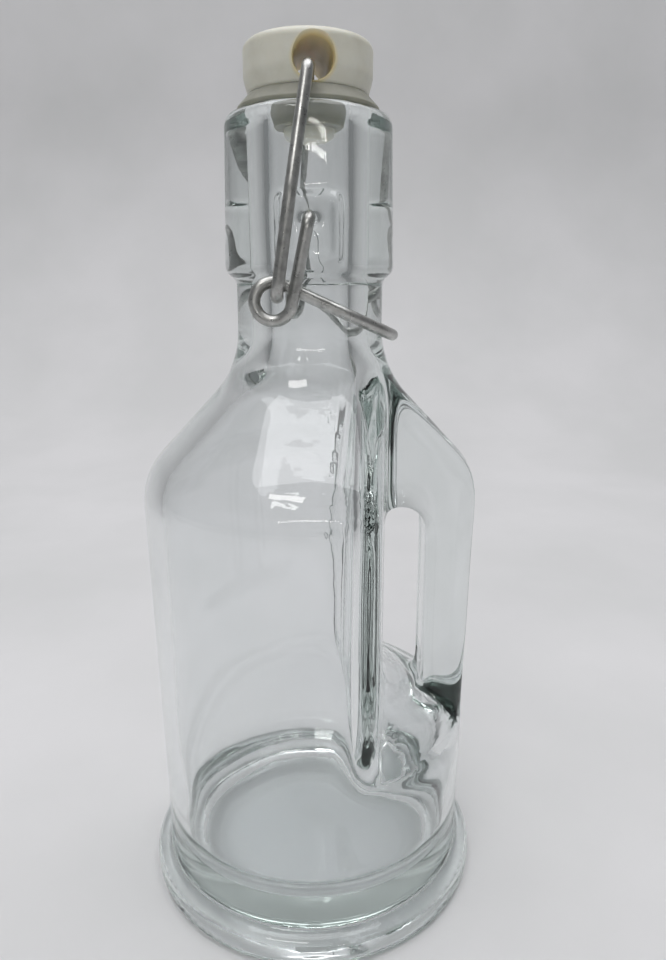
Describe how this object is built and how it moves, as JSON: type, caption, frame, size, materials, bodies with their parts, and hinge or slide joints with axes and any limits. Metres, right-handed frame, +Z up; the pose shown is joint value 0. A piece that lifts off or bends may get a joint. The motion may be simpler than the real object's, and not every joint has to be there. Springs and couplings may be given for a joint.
{
  "type": "swing-top growler",
  "caption": "Small clear-glass swing-top growler: flanged foot, handle cast within the body's outline, wire-bail closure with gasketed stopper.",
  "frame": {"origin": "on the bottle's axis, at the plane that the foot stands on", "axes": "+Z up along the bottle's axis, +X towards the handle, Y along the closure's pivot line"},
  "size_m": [0.074, 0.074, 0.1746],
  "materials": {
    "clear_glass": "clear polished glass, faint grey-green in the thick edges",
    "lever_steel": "satin drawn steel wire",
    "bail_steel": "satin drawn steel wire",
    "stopper_cream": "smooth cream moulding with a soft gloss",
    "gasket_rubber": "matte grey-beige soft rubber"
  },
  "bodies": {
    "bottle": {"bottle": "clear_glass"},
    "lever": {"lever_wire": "lever_steel"},
    "bail": {"bail_wire": "bail_steel"},
    "stopper": {"stopper": "stopper_cream", "gasket": "gasket_rubber"}
  },
  "joints": [
    {"name": "lever_swing", "type": "hinge", "parent": "bottle", "child": "lever", "pos_m": [0, 0, 0.1428], "axis": [0, -1, 0], "range_deg": [0, 130], "deforming": ["gasket"]},
    {"name": "bail_swing", "type": "hinge", "parent": "lever", "child": "bail", "pos_m": [-0.00578, 0, 0.12918], "axis": [0, -1, 0], "range_deg": [-82.4, 0]},
    {"name": "stopper_tilt", "type": "hinge", "parent": "bail", "child": "stopper", "pos_m": [0, 0, 0.16755], "axis": [0, -1, 0], "range_deg": [-48.6, 0]}
  ],
  "couplings": [
    {"joint": "bail_swing", "follows": "lever_swing", "ratio": -0.63},
    {"joint": "stopper_tilt", "follows": "lever_swing", "ratio": -0.37}
  ]
}
